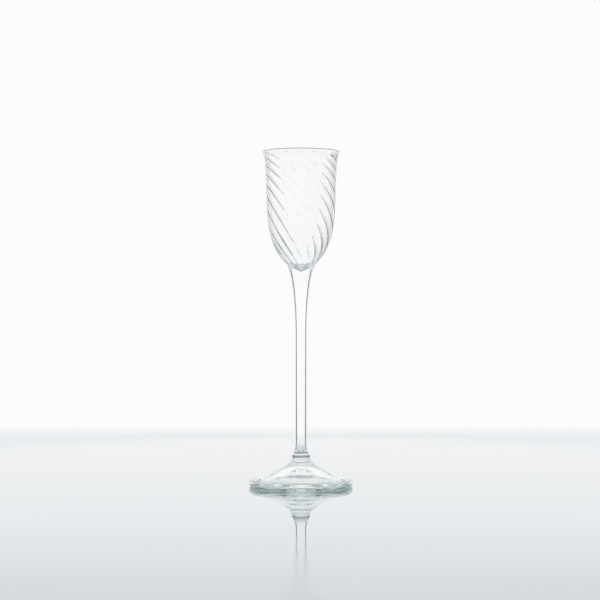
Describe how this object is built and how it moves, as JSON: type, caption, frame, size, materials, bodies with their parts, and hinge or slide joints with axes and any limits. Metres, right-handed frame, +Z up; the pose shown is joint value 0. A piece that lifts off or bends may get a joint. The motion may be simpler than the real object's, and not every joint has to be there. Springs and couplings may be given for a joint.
{
  "type": "schnapps glass",
  "caption": "Tall-stemmed schnapps glass in clear blown glass: beaker bowl with twisted optic ribs and a turned-out lip, slim drawn stem, small collar and raised disc foot.",
  "frame": {"origin": "middle of the plane that the foot rests on", "axes": "+Z up along the stem, from the foot to the lip; -Y is the side that the picture shows"},
  "size_m": [0.0556, 0.0556, 0.18],
  "materials": {
    "foot_glass": "clear soda-lime glass, fire-polished, with a trace of green in its thickness",
    "collar_glass": "clear soda-lime glass, fire-polished",
    "stem_glass": "clear soda-lime glass, drawn, fire-polished",
    "bowl_glass": "clear soda-lime glass, blown in a ribbed mould and twisted, fire-polished"
  },
  "bodies": {
    "root": {"foot": "foot_glass", "collar": "collar_glass", "stem": "stem_glass", "bowl": "bowl_glass"}
  },
  "joints": []
}
